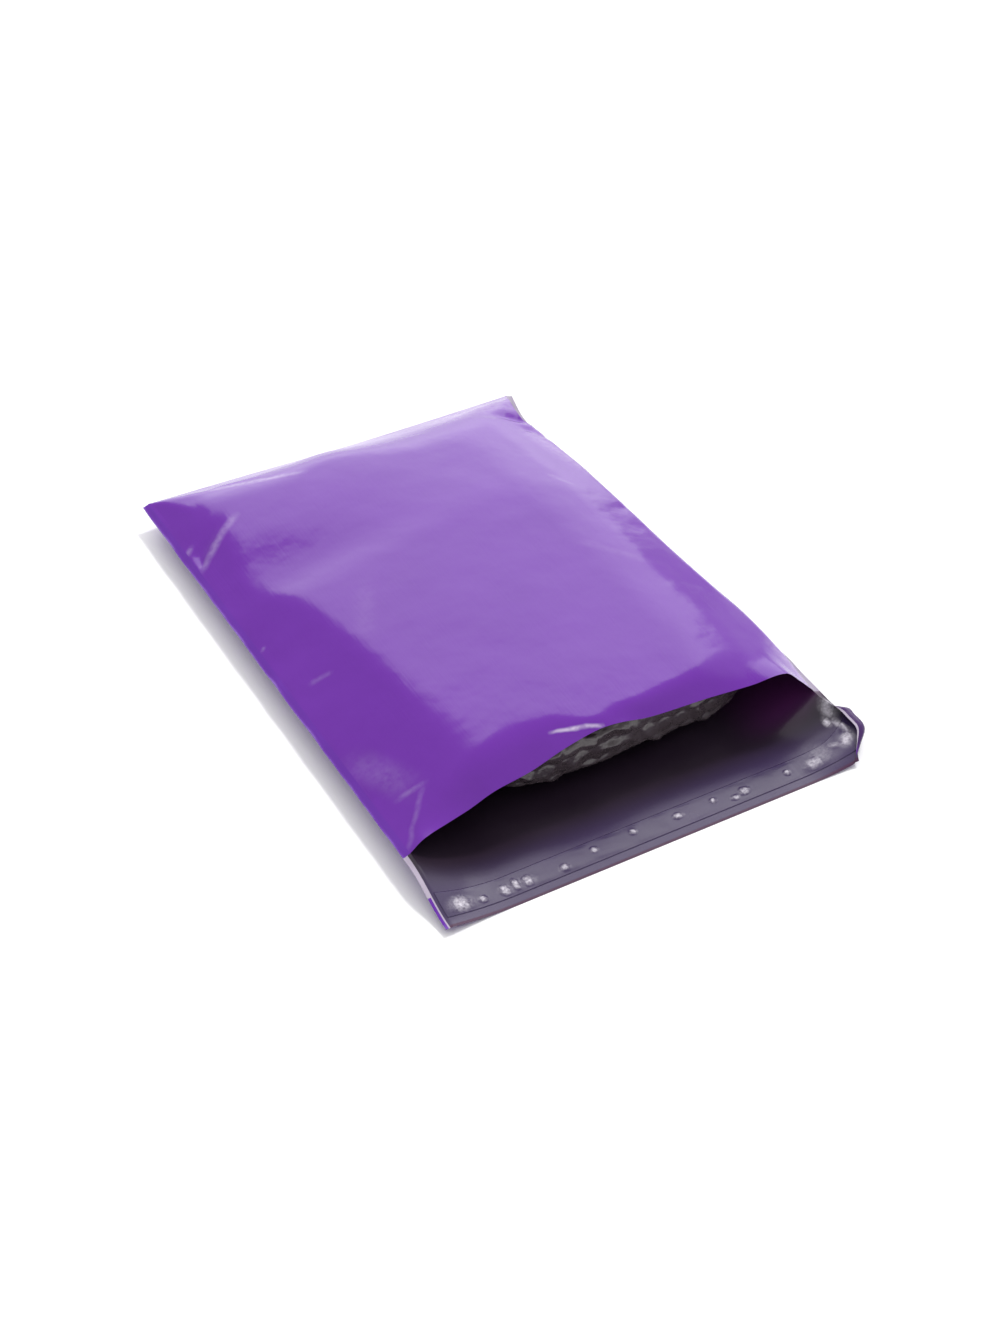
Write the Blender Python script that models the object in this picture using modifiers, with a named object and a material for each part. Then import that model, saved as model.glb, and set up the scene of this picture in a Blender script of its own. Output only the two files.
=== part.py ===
# Poly mailer bag, filled and lying open on its back panel.
# Metres, +Z up. The mouth and its flap face -Y, and the folded closed end faces +Y.
# The empty "poly_mailer_bag" puts the world's origin on the floor, under the middle of the outline.
# Stations are pairs: a share of a length first, then what the form has there.

import math

import bmesh
import bpy
from mathutils import Vector

# Pocket, measured as it lies when filled
POCKET_WIDTH = 0.2460
POCKET_LENGTH = 0.3180
FILM_THICKNESS = 0.0001
WELD_WIDTH = 0.0040
WELD_DROP = 0.0016
CROWN_HEIGHT = 0.0420
MOUTH_BOW = 0.0090
MOUTH_FALL = 0.0500

# Heights of the weld lines and of the folded end over the floor
LEFT_WELD_HEIGHT = 0.0148
RIGHT_WELD_HEIGHT = 0.0165
LEFT_MARGIN = 0.0400
RIGHT_MARGIN = 0.0360
END_MARGIN = 0.0260

# Slopes of the filled front panel beside the left weld, the right weld and the closed end, in degrees
LEFT_SLOPE = 25.0
SHOULDER_SLOPE = 10.0
RIGHT_SLOPE = 74.0
END_SLOPE = 31.0
END_SLOPE_EXTRA = 9.0
RIDGE_RADIUS = 0.0090
SHOULDER_RADIUS = 0.0020
RIGHT_RADIUS = 0.0050
LIP_SOFTNESS = 0.50
SHARPEST_RADIUS = 0.0002
RIDGE_FADE = 0.0200
FOLD_DEPTH = 0.0030
FOLD_HALF_WIDTH = 0.0080

# Sealing flap, where the back panel runs on past the mouth
FLAP_LENGTH = 0.0440
DROP_FADE = 0.4
FLAP_LEFT_LIFT = 0.0038
FLAP_RIGHT_LIFT = 0.0010
ROLL_LENGTH = 0.0535
ROLL_SLOPE = 19.0
ROLL_RADIUS = 0.0019
ROLL_TURN = 168.0
ROLL_TAIL = 0.0034

# Glue strip on the flap's inner face, and the peel-off liner over it
GLUE_WIDTH = 0.0110
GLUE_THICKNESS = 0.00015
LINER_WIDTH = 0.0145
LINER_THICKNESS = 0.0001
LINER_CENTRE = 0.0307
LAYER_GAP = 0.0003

# Goods in bubble wrap inside the pocket
GOODS_LEFT = 0.0450
GOODS_RIGHT = 0.0140
GOODS_FRONT = 0.0115
GOODS_BACK = 0.0240
GOODS_CLEARANCE = 0.0012
GOODS_NOSE_LIFT = 0.0080
GOODS_NOSE_LENGTH = 0.0450
GOODS_SQUARENESS = 6.0
GOODS_CUTS = 11
HALF_WAY = 0.5

# Mesh spacing: cells beside a weld or an end, and how much each next one grows
FIRST_CELL = 0.0045
CELL_GROWTH = 1.22
FLAP_CELL = 0.0070
ROLL_CELL_PULL = 1.7

# Right weld line: share of the length from the mouth, share of the half width, share of its height
RIGHT_WELD_LINE = [
    (0.00, 1.000), (0.10, 1.007), (0.19, 1.006), (0.29, 0.990), (0.41, 0.968),
    (0.54, 0.955), (0.68, 0.938), (0.82, 0.918), (0.90, 0.903), (1.00, 0.957),
]
RIGHT_WELD_RISE = [(0.00, 1.00), (0.10, 0.92), (0.25, 0.74), (0.50, 0.70), (0.86, 0.66), (1.00, 0.50)]
# Folded end: share across from left to right, share of the left weld's height
END_RISE = [(0.00, 1.00), (0.28, 0.83), (0.50, 0.67), (0.68, 0.60), (1.00, 0.55)]
# Free edge of the front panel: share across, share of the crown's height
MOUTH_ARCH = [
    (0.000, 0.35), (0.035, 0.46), (0.100, 0.52), (0.150, 0.565), (0.210, 0.66), (0.300, 0.71),
    (0.383, 0.84), (0.468, 0.93), (0.520, 0.91), (0.600, 0.82), (0.750, 0.80), (0.845, 0.79),
    (0.928, 0.82), (0.965, 0.62), (1.000, 0.40),
]
# How far behind the free edge the panel reaches its full height: share across, share of MOUTH_FALL
MOUTH_DEPTH = [
    (0.00, 0.16), (0.10, 0.24), (0.27, 0.34), (0.38, 0.30), (0.43, 0.18), (0.47, 0.10), (0.52, 0.14),
    (0.60, 0.20), (0.70, 0.34), (0.80, 0.50), (0.90, 0.66), (1.00, 0.80),
]
# Crown of the filled pocket: across it, and along it from the mouth, as shares of its height
CROWN_ACROSS = [(0.00, 0.94), (0.25, 1.00), (0.74, 1.00), (0.86, 0.88), (0.94, 0.70), (1.00, 0.55)]
CROWN_ALONG = [(0.00, 0.98), (0.15, 1.00), (0.60, 0.99), (0.76, 0.86), (0.94, 0.68), (1.00, 0.62)]
# Left shoulder, a gentler slope between the left weld's and the crown: share along, and share of the
# crown's height
SHOULDER_RISE = [
    (0.00, 0.74), (0.16, 0.70), (0.37, 0.64), (0.57, 0.56), (0.66, 0.47), (0.80, 0.51), (1.00, 0.56),
]
# Folds that run in from the welds: both ends as shares across and along, share of depth, share of width
FOLDS = [
    ((0.00, 0.795), (0.17, 0.905), 0.73, 0.94),
    ((1.00, 0.880), (0.86, 0.925), 1.00, 1.00),
    ((1.00, 0.800), (0.90, 0.900), 0.47, 0.75),
]
# Extra slope of the closed end, where the goods push against it
END_PUSH = [(0.00, 0.0), (0.28, 0.2), (0.45, 1.0), (0.58, 0.3), (0.70, 0.0), (1.00, 0.0)]
# Share of the full roll on the flap's right margin, from the mouth line to the flap's front edge
ROLL_SHARE = [
    (0.00, 0.0), (0.10, 0.10), (0.30, 0.95), (0.45, 1.00), (0.68, 0.96), (0.84, 0.62), (1.00, 0.22),
]

FILM_PURPLE = (0.178, 0.045, 0.420, 1.0)
GLUE_GREY = (0.10, 0.09, 0.12, 1.0)
LINER_GREY = (0.30, 0.28, 0.34, 1.0)
WRAP_GREY = (0.32, 0.30, 0.29, 1.0)


def clear_scene():
    for obj in list(bpy.data.objects):
        bpy.data.objects.remove(obj)


def make_collection(name):
    collection = bpy.data.collections.new(name)
    bpy.context.scene.collection.children.link(collection)
    return collection


def plastic(name, colour, roughness, alpha=1.0):
    material = bpy.data.materials.new(name)
    material.use_nodes = True
    shader = material.node_tree.nodes["Principled BSDF"]
    shader.inputs["Base Color"].default_value = colour
    shader.inputs["Roughness"].default_value = roughness
    shader.inputs["Metallic"].default_value = 0.0
    shader.inputs["Alpha"].default_value = alpha
    return material


def through(stations, t):
    """The smooth curve through the stations, read at the share t."""
    t = min(max(t, stations[0][0]), stations[-1][0])
    last = len(stations) - 1
    i = max(k for k in range(last) if stations[k][0] <= t)
    (t0, a), (t1, b) = stations[i], stations[i + 1]
    before, after = stations[max(i - 1, 0)], stations[min(i + 2, last)]
    span = t1 - t0
    slope_a = (b - before[1]) / (t1 - before[0]) * span
    slope_b = (after[1] - a) / (after[0] - t0) * span
    w = (t - t0) / span
    rise = w * w * (3 - 2 * w)
    return a + (b - a) * rise + w * (1 - w) ** 2 * slope_a - w * w * (1 - w) * slope_b


def ease(t):
    t = min(max(t, 0.0), 1.0)
    return t * t * (3 - 2 * t)


def blend(a, b, share):
    return a + (b - a) * share


def soft_min(a, b, radius):
    """The lower of two heights, with the ridge between them rounded."""
    near = max(radius - abs(a - b), 0.0)
    return min(a, b) - near * near / (4 * radius)


def ridge(a, b, radius, rim):
    """soft_min of two slopes, whose ridge gets sharper towards the panel's welded rim."""
    return soft_min(a, b, max(radius * ease(rim / RIDGE_FADE), SHARPEST_RADIUS))


def graded_shares(length):
    """Shares of a length from 0 to 1, in cells that grow from both ends towards the middle."""
    cells, reach, cell = [], 0.0, FIRST_CELL
    while reach < length / 2:
        cells.append(cell)
        reach += cell
        cell *= CELL_GROWTH
    cells = [c * length / 2 / reach for c in cells]
    cells += cells[::-1]
    shares = [0.0]
    for c in cells:
        shares.append(shares[-1] + c / length)
    shares[-1] = 1.0
    return shares


def left_weld(along):
    return Vector((WELD_WIDTH - POCKET_WIDTH / 2, along * POCKET_LENGTH, LEFT_WELD_HEIGHT))


def right_weld(along):
    x = POCKET_WIDTH / 2 * through(RIGHT_WELD_LINE, along) - WELD_WIDTH
    return Vector((x, along * POCKET_LENGTH, RIGHT_WELD_HEIGHT * through(RIGHT_WELD_RISE, along)))


def end_height(across):
    return LEFT_WELD_HEIGHT * through(END_RISE, across)


def plan(across, along, bow=0.0):
    """Place over the floor of a point of a panel, whose mouth edge may bow back towards the goods."""
    x = blend(left_weld(along).x, right_weld(along).x, across)
    start = bow * 4 * across * (1 - across)
    return x, blend(start, POCKET_LENGTH, along)


def fold_depth(x, y):
    """How deep the folds press into the front panel, in a soft V that fades towards the inner end."""
    depth = 0.0
    point = Vector((x, y))
    for start, end, depth_share, width_share in FOLDS:
        start, end = Vector(plan(*start)), Vector(plan(*end))
        run = end - start
        share = min(max((point - start).dot(run) / run.length_squared, 0.0), 1.0)
        off = (point - start - run * share).length / (FOLD_HALF_WIDTH * width_share)
        depth += FOLD_DEPTH * depth_share * (1 - ease(share)) * (1 - ease(off))
    return depth


def front_height(across, along):
    """Height of the front panel: the goods' crown, cut by the slopes down to the welds and the end."""
    x, y = plan(across, along, MOUTH_BOW)
    left, right = left_weld(along), right_weld(along)
    from_left, from_right, to_end = x - left.x, right.x - x, POCKET_LENGTH - y
    rim = min(from_left, from_right, to_end)
    slope = END_SLOPE + END_SLOPE_EXTRA * through(END_PUSH, across)
    height = CROWN_HEIGHT * through(CROWN_ACROSS, across) * through(CROWN_ALONG, along)
    shoulder = CROWN_HEIGHT * through(SHOULDER_RISE, along)
    shoulder += from_left * math.tan(math.radians(SHOULDER_SLOPE))
    left_side = left.z + from_left * math.tan(math.radians(LEFT_SLOPE))
    right_side = right.z + from_right * math.tan(math.radians(RIGHT_SLOPE))
    end_side = end_height(across) + to_end * math.tan(math.radians(slope))
    height = ridge(height, ridge(shoulder, left_side, SHOULDER_RADIUS, rim), RIDGE_RADIUS, rim)
    height = ridge(height, end_side, RIDGE_RADIUS, rim)
    height = ridge(height, right_side, RIGHT_RADIUS, rim)
    height -= fold_depth(x, y) * ease(rim / FOLD_HALF_WIDTH)
    arch = CROWN_HEIGHT * through(MOUTH_ARCH, across)
    behind = y - plan(across, 0.0, MOUTH_BOW)[1]
    fallen = behind / (MOUTH_FALL * through(MOUTH_DEPTH, across))
    return blend(arch, height, soft_min(fallen, 1.0, LIP_SOFTNESS))


def back_height(across, along):
    """Height of the back panel, flat on the floor and rising to the welds and the closed end."""
    x, y = plan(across, along)
    left, right = left_weld(along), right_weld(along)
    from_left = max(1 - (x - left.x) / LEFT_MARGIN, 0.0)
    from_right = max(1 - (right.x - x) / RIGHT_MARGIN, 0.0)
    from_end = max(1 - (POCKET_LENGTH - y) / END_MARGIN, 0.0)
    return max(left.z * from_left ** 2, right.z * from_right ** 2, end_height(across) * from_end ** 2)


def roll_point(distance):
    """Path of the rolled right margin, by the film's length from where it leaves the floor."""
    slope, turn = math.radians(ROLL_SLOPE), math.radians(ROLL_TURN)
    rise_length = ROLL_LENGTH - ROLL_TAIL - ROLL_RADIUS * turn
    if distance < rise_length:
        angle = slope * distance / rise_length
        return distance * math.cos(angle / 2), distance * math.sin(angle / 2)
    x, z = rise_length * math.cos(slope / 2), rise_length * math.sin(slope / 2)
    angle = min((distance - rise_length) / ROLL_RADIUS, turn)
    x += ROLL_RADIUS * (math.sin(slope + angle) - math.sin(slope))
    z += ROLL_RADIUS * (math.cos(slope) - math.cos(slope + angle))
    tail = max(distance - rise_length - ROLL_RADIUS * turn, 0.0)
    return x + tail * math.cos(slope + turn), z + tail * math.sin(slope + turn)


def flap_point(x, out):
    """A point of the flap, by its place across the mouth line and its distance out from that line."""
    share = out / FLAP_LENGTH
    left, right = left_weld(0.0), right_weld(0.0)
    side = right.x + WELD_WIDTH
    from_left = min(max(1 - (x - left.x) / LEFT_MARGIN, 0.0), 1.0)
    from_right = min(max(1 - (right.x - x) / RIGHT_MARGIN, 0.0), 1.0)
    height = blend(left.z, FLAP_LEFT_LIFT, ease(share)) * from_left ** 2
    height += blend(right.z, FLAP_RIGHT_LIFT, ease(share)) * from_right ** 2
    height -= WELD_DROP * max(left.x - x, x - right.x, 0.0) / WELD_WIDTH * (1 - ease(share / DROP_FADE))
    flat = Vector((x, -out, height))
    start = side - RIGHT_MARGIN
    if x <= start:
        return flat
    left_over = max(side - x, 0.0) / RIGHT_MARGIN
    reach = 1 - left_over ** ROLL_CELL_PULL
    roll_x, roll_z = roll_point(ROLL_LENGTH * reach)
    return flat.lerp(Vector((start + roll_x, -out, roll_z)), through(ROLL_SHARE, share))


def flap_rows():
    """Distances out from the mouth line of the flap's rows, the edges of the glue and liner among them."""
    near = LINER_CENTRE - LINER_WIDTH / 2
    count = round(near / FLAP_CELL)
    return [near * (k + 1) / count for k in range(count)] + [
        LINER_CENTRE - GLUE_WIDTH / 2,
        LINER_CENTRE,
        LINER_CENTRE + GLUE_WIDTH / 2,
        LINER_CENTRE + LINER_WIDTH / 2,
        FLAP_LENGTH,
    ]


def make_mesh_object(name, mesh_builder, collection, material):
    mesh_builder.normal_update()
    mesh = bpy.data.meshes.new(name)
    mesh_builder.to_mesh(mesh)
    mesh_builder.free()
    mesh.shade_smooth()
    obj = bpy.data.objects.new(name, mesh)
    mesh.materials.append(material)
    collection.objects.link(obj)
    return obj


def quilt(mesh_builder, rows):
    """Cells between neighbouring rows of vertices, cut along the diagonal to their outer far corner."""
    cells = []
    for near, far in zip(rows[:-1], rows[1:]):
        last = len(near) - 1
        for i in range(last):
            corners = [near[i], near[i + 1], far[i + 1], far[i]]
            if i < last / 2:
                corners = corners[1:] + corners[:1]
            cells.append(mesh_builder.faces.new(corners))
    bmesh.ops.triangulate(mesh_builder, faces=cells, quad_method="FIXED")


def film_sheet():
    """The film as an open sheet: the flap and back panel, folded at the closed end into the front panel."""
    sheet = bmesh.new()
    across = graded_shares(POCKET_WIDTH)
    along = graded_shares(POCKET_LENGTH)
    out_left, out_right = Vector((-WELD_WIDTH, 0, -WELD_DROP)), Vector((WELD_WIDTH, 0, -WELD_DROP))

    back_rows = []
    for share in along:
        row = [left_weld(share) + out_left, left_weld(share)]
        for u in across[1:-1]:
            row.append(Vector((*plan(u, share), back_height(u, share))))
        row += [right_weld(share), right_weld(share) + out_right]
        back_rows.append([sheet.verts.new(point) for point in row])

    mouth_line = [vertex.co.x for vertex in back_rows[0]]
    flap = [[sheet.verts.new(flap_point(x, out)) for x in mouth_line] for out in reversed(flap_rows())]
    quilt(sheet, flap + back_rows)

    front_rows = []
    for share, back_row in zip(along[:-1], back_rows):
        row = [back_row[1]]
        for u in across[1:-1]:
            row.append(sheet.verts.new((*plan(u, share, MOUTH_BOW), front_height(u, share))))
        front_rows.append(row + [back_row[-2]])
    front_rows.append(back_rows[-1][1:-1])
    quilt(sheet, [row[::-1] for row in front_rows])
    return sheet


def make_film(collection):
    purple = plastic("purple film", FILM_PURPLE, 0.22)
    film = make_mesh_object("mailer_film", film_sheet(), collection, purple)
    wall = film.modifiers.new("Film thickness", "SOLIDIFY")
    wall.solidify_mode = "NON_MANIFOLD"
    wall.nonmanifold_thickness_mode = "CONSTRAINTS"
    wall.nonmanifold_merge_threshold = 0.000001
    wall.thickness = FILM_THICKNESS
    wall.offset = 0.0
    return film


def make_strip(name, rows, height, thickness, collection, material):
    """A thin strip that follows the flap's inner face, its underside at a height over that face."""
    strip = bmesh.new()
    mouth_line = [blend(left_weld(0).x, right_weld(0).x, u) for u in graded_shares(POCKET_WIDTH)]
    quilt(strip, [[strip.verts.new(flap_point(x, out)) for x in mouth_line] for out in reversed(rows)])
    strip.normal_update()
    middle = height + thickness / 2
    moved = [vertex.co + vertex.normal * middle for vertex in strip.verts]
    for vertex, point in zip(strip.verts, moved):
        vertex.co = point
    obj = make_mesh_object(name, strip, collection, material)
    wall = obj.modifiers.new("Strip thickness", "SOLIDIFY")
    wall.thickness = thickness
    wall.offset = 0.0
    wall.use_even_offset = True
    return obj


def make_goods(collection):
    """Goods in bubble wrap: a rounded pack that fills the pocket and lifts a little at the mouth."""
    pack = bmesh.new()
    bmesh.ops.create_cube(pack, size=2)
    bmesh.ops.subdivide_edges(pack, edges=pack.edges[:], cuts=GOODS_CUTS, use_grid_fill=True)
    left = left_weld(HALF_WAY).x + GOODS_LEFT
    right = right_weld(HALF_WAY).x - GOODS_RIGHT
    front, back = GOODS_FRONT, POCKET_LENGTH - GOODS_BACK
    for vertex in pack.verts:
        size = sum(abs(c) ** GOODS_SQUARENESS for c in vertex.co) ** (1 / GOODS_SQUARENESS)
        a, b, c = vertex.co / size
        x = blend(left, right, (a + 1) / 2)
        y = blend(front, back, (b + 1) / 2)
        along = y / POCKET_LENGTH
        across = (x - left_weld(along).x) / (right_weld(along).x - left_weld(along).x)
        nose = GOODS_NOSE_LIFT * (1 - ease((y - front) / GOODS_NOSE_LENGTH))
        floor = back_height(across, along) + GOODS_CLEARANCE + nose
        top = front_height(across, along) - GOODS_CLEARANCE
        vertex.co = (x, y, blend(floor, top, (c + 1) / 2))
    return make_mesh_object("wrapped_goods", pack, collection, plastic("bubble wrap", WRAP_GREY, 0.25))


def stand_on_origin(objects, collection):
    """Carry all pieces by one empty, which puts the middle of their outline over the origin."""
    bpy.context.view_layer.update()
    graph = bpy.context.evaluated_depsgraph_get()
    corners = [obj.matrix_world @ Vector(c) for obj in objects for c in obj.evaluated_get(graph).bound_box]
    lowest = Vector(min(c[k] for c in corners) for k in range(3))
    highest = Vector(max(c[k] for c in corners) for k in range(3))
    holder = bpy.data.objects.new("poly_mailer_bag", None)
    collection.objects.link(holder)
    middle = (lowest + highest) / 2
    holder.location = (-middle.x, -middle.y, -lowest.z)
    for obj in objects:
        obj.parent = holder


def main():
    clear_scene()
    collection = make_collection("Poly mailer bag")
    glue_edge, liner_edge = GLUE_WIDTH / 2, LINER_WIDTH / 2
    centre = LINER_CENTRE
    on_film = FILM_THICKNESS / 2 + LAYER_GAP
    on_glue = on_film + GLUE_THICKNESS + LAYER_GAP
    stand_on_origin(
        [
            make_film(collection),
            make_strip(
                "glue_strip",
                [centre - glue_edge, centre, centre + glue_edge],
                on_film,
                GLUE_THICKNESS,
                collection,
                plastic("hot-melt glue", GLUE_GREY, 0.35),
            ),
            make_strip(
                "release_liner",
                [centre - liner_edge, centre - glue_edge, centre, centre + glue_edge, centre + liner_edge],
                on_glue,
                LINER_THICKNESS,
                collection,
                plastic("release liner", LINER_GREY, 0.15),
            ),
            make_goods(collection),
        ],
        collection,
    )


main()
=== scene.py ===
# Looks of a filled poly mailer bag that lies open on its back panel: purple outside and dark inside,
# with a glue strip under a release liner on its flap, and goods in bubble wrap in its mouth.
# Metres, +Z up. Places on the bag are told from the mouth line: x across it, y towards the closed end.
# Stations are pairs: a share of a length first, then what the form has there.

import math

import bpy
import numpy as np
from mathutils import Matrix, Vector


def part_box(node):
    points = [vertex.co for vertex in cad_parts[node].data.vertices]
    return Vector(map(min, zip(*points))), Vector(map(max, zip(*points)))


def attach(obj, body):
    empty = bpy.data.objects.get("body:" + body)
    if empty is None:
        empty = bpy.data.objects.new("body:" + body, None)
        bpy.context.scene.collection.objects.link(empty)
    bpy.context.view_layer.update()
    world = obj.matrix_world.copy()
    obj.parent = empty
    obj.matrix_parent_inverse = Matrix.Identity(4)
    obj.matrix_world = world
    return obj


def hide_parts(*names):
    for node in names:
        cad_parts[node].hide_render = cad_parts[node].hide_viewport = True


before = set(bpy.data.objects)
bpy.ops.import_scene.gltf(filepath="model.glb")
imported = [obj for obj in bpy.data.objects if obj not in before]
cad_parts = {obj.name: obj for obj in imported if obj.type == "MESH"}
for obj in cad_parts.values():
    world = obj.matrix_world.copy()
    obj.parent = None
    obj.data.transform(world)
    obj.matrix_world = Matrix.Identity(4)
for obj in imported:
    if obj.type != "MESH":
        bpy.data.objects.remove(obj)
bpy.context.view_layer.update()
film_low, film_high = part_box("mailer_film")

# Pocket, welds and flap, as in the solids
POCKET_WIDTH = 0.2460
POCKET_LENGTH = 0.3180
FILM_THICKNESS = 0.0001
WELD_WIDTH = 0.0040
WELD_DROP = 0.0016
CROWN_HEIGHT = 0.0420
MOUTH_BOW = 0.0090
MOUTH_FALL = 0.0500
LEFT_WELD_HEIGHT = 0.0148
RIGHT_WELD_HEIGHT = 0.0165
LEFT_MARGIN = 0.0400
RIGHT_MARGIN = 0.0360
END_MARGIN = 0.0260
LEFT_SLOPE = 25.0
SHOULDER_SLOPE = 10.0
RIGHT_SLOPE = 74.0
END_SLOPE = 31.0
END_SLOPE_EXTRA = 9.0
RIDGE_RADIUS = 0.0090
SHOULDER_RADIUS = 0.0020
RIGHT_RADIUS = 0.0050
LIP_SOFTNESS = 0.50
SHARPEST_RADIUS = 0.0002
RIDGE_FADE = 0.0200
FLAP_LENGTH = 0.0440
DROP_FADE = 0.4
FLAP_LEFT_LIFT = 0.0038
FLAP_RIGHT_LIFT = 0.0010
ROLL_LENGTH = 0.0535
ROLL_SLOPE = 19.0
ROLL_RADIUS = 0.0019
ROLL_TURN = 168.0
ROLL_TAIL = 0.0034
ROLL_CELL_PULL = 1.7
CORNER_PULL = 0.0055
CORNER_REACH = 0.0160
CORNER_FROM = 0.60

# Glue strip and liner on the flap
GLUE_WIDTH = 0.0110
GLUE_THICKNESS = 0.00006
LINER_WIDTH = 0.0145
LINER_THICKNESS = 0.0001
LINER_CENTRE = 0.0307
LAYER_GAP = 0.00002

# Goods in the pocket
GOODS_LEFT = 0.0450
GOODS_RIGHT = 0.0140
GOODS_FRONT = 0.0100
GOODS_BACK = 0.0240
GOODS_CLEARANCE = 0.0012
GOODS_NOSE_LIFT = 0.0045
GOODS_NOSE_LENGTH = 0.0450
GOODS_SQUARENESS = 6.0

RIGHT_WELD_LINE = [
    (0.00, 1.000), (0.10, 1.007), (0.19, 1.006), (0.29, 0.990), (0.41, 0.968),
    (0.54, 0.955), (0.68, 0.938), (0.82, 0.918), (0.90, 0.903), (1.00, 0.957),
]
RIGHT_WELD_RISE = [(0.00, 1.00), (0.10, 0.92), (0.25, 0.74), (0.50, 0.70), (0.86, 0.66), (1.00, 0.50)]
END_RISE = [(0.00, 1.00), (0.28, 0.83), (0.50, 0.67), (0.68, 0.60), (1.00, 0.55)]
MOUTH_ARCH = [
    (0.000, 0.35), (0.035, 0.46), (0.100, 0.52), (0.150, 0.565), (0.210, 0.66), (0.300, 0.71),
    (0.383, 0.84), (0.468, 0.93), (0.520, 0.91), (0.600, 0.82), (0.750, 0.80), (0.845, 0.79),
    (0.928, 0.82), (0.965, 0.62), (1.000, 0.40),
]
MOUTH_DEPTH = [
    (0.00, 0.16), (0.10, 0.24), (0.27, 0.34), (0.38, 0.30), (0.43, 0.18), (0.47, 0.10), (0.52, 0.14),
    (0.60, 0.14), (0.70, 0.20), (0.80, 0.30), (0.90, 0.46), (1.00, 0.62),
]
CROWN_ACROSS = [(0.00, 0.94), (0.25, 1.00), (0.74, 1.00), (0.86, 0.88), (0.94, 0.70), (1.00, 0.55)]
CROWN_ALONG = [(0.00, 0.98), (0.15, 1.00), (0.60, 0.99), (0.76, 0.86), (0.94, 0.68), (1.00, 0.62)]
SHOULDER_RISE = [
    (0.00, 0.74), (0.16, 0.70), (0.37, 0.64), (0.57, 0.56), (0.66, 0.47), (0.80, 0.51), (1.00, 0.56),
]
END_PUSH = [(0.00, 0.0), (0.28, 0.2), (0.45, 1.0), (0.58, 0.3), (0.70, 0.0), (1.00, 0.0)]
ROLL_SHARE = [
    (0.00, 0.0), (0.10, 0.10), (0.30, 0.95), (0.45, 1.00), (0.68, 0.96), (0.84, 0.62), (1.00, 0.22),
]

# Creases of the front panel: both ends as shares across and along, depth (a ridge is below zero) and
# half width in metres
CREASES = [
    ((0.000, 0.795), (0.170, 0.905), 0.0022, 0.0060),
    ((-0.005, 0.815), (0.120, 0.852), 0.0011, 0.0032),
    ((1.000, 0.880), (0.860, 0.925), 0.0030, 0.0070),
    ((1.000, 0.800), (0.900, 0.900), 0.0014, 0.0045),
    ((1.000, 0.845), (0.890, 0.830), 0.0010, 0.0040),
    ((1.000, 0.540), (0.850, 0.515), 0.0003, 0.0050),
    ((0.000, 0.530), (0.060, 0.545), 0.0005, 0.0030),
    ((0.000, 0.120), (0.130, 0.170), 0.0007, 0.0045),
    ((0.020, 0.000), (0.110, 0.130), -0.0008, 0.0040),
]

# Mesh spacing: cells beside a weld or an end, how much each next one grows, and the widest. Film points
# closer than the merge distance are one, and edges over the sharp angle, in degrees, stay crisp.
FIRST_CELL = 0.0011
CELL_GROWTH = 1.10
LAST_CELL = 0.0024
MERGE_DISTANCE = 0.000001
SHARP_ANGLE = 50.0

# Mesh counts: cells across a weld fin and along the flap, and the columns and rows of the other pieces
MARGIN_CELLS = 5
FLAP_CELLS = 26
LINER_COLUMNS = 480
LINER_ROWS = 34
GLUE_COLUMNS = 200
GLUE_ROWS = 12
GOODS_COLUMNS = 250
GOODS_TURN_ROWS = 190

# The flap's left edge is painted pale over some cells, as a painted highlight, and its outermost ones are
# violet over a share of the flap
PALE_EDGE_CELLS = 3
LEFT_EDGE_CELLS = 2
VIOLET_SHARE = 0.42

# Unevenness of the film: heights, wavelengths, numbers of waves and seeds, and the lengths over which it
# and the creases fade
WAVE_COUNT = 18
WAVELENGTH_SPREAD = (0.7, 1.5)
SAG_HEIGHT = 0.00010
SAG_WAVELENGTH = 0.070
SAG_SEED = 11
DRAPE_HEIGHT = 0.00003
DRAPE_WAVELENGTH = 0.022
DRAPE_SEED = 12
PUCKER_HEIGHT = 0.00016
PUCKER_WAVELENGTH = 0.017
PUCKER_COUNT = 7
PUCKER_REACH = 0.0075
LEFT_PUCKER_SEED = 21
END_PUCKER_SEED = 23
FIN_WAVE_HEIGHT = 0.00020
FIN_WAVELENGTH = 0.030
FIN_WAVE_COUNT = 6
FIN_SEEDS = (31, 32)
FIN_BEND = 0.8
FADE_LENGTH = 0.0200
CREASE_FADE = 0.0050
CREASE_ROUNDING = 0.01

# Liner: middle across and out, half lengths and strength of each spot that has come off the glue. Over these
# spots the liner is also painted pale, as painted glints
LOOSE_SPOTS = [
    (-0.1085, 0.0325, 0.0075, 0.0060, 1.0), (-0.0965, 0.0330, 0.0028, 0.0026, 0.9),
    (-0.0840, 0.0325, 0.0036, 0.0042, 1.0), (-0.0775, 0.0312, 0.0028, 0.0044, 1.0),
    (-0.0710, 0.0320, 0.0038, 0.0042, 0.9), (-0.0505, 0.0332, 0.0030, 0.0030, 1.0),
    (-0.0318, 0.0298, 0.0025, 0.0024, 1.0), (-0.0085, 0.0285, 0.0025, 0.0022, 0.9),
    (0.0173, 0.0300, 0.0034, 0.0024, 1.0), (0.0386, 0.0295, 0.0022, 0.0020, 1.0),
    (0.0500, 0.0330, 0.0030, 0.0022, 0.7), (0.0565, 0.0312, 0.0042, 0.0030, 0.9),
    (0.0828, 0.0309, 0.0022, 0.0022, 1.0), (0.0990, 0.0322, 0.0080, 0.0050, 0.6),
]
LOOSE_HEIGHT = 0.0006
WRINKLE_LENGTH = 0.0030
WRINKLE_SEED = 41
WRINKLE_SHARE = 0.6
RIM_FADE = 0.0030
RIPPLE_HEIGHT = 0.00006
RIPPLE_LENGTH = 0.012
RIPPLE_SEED = 42

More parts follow.
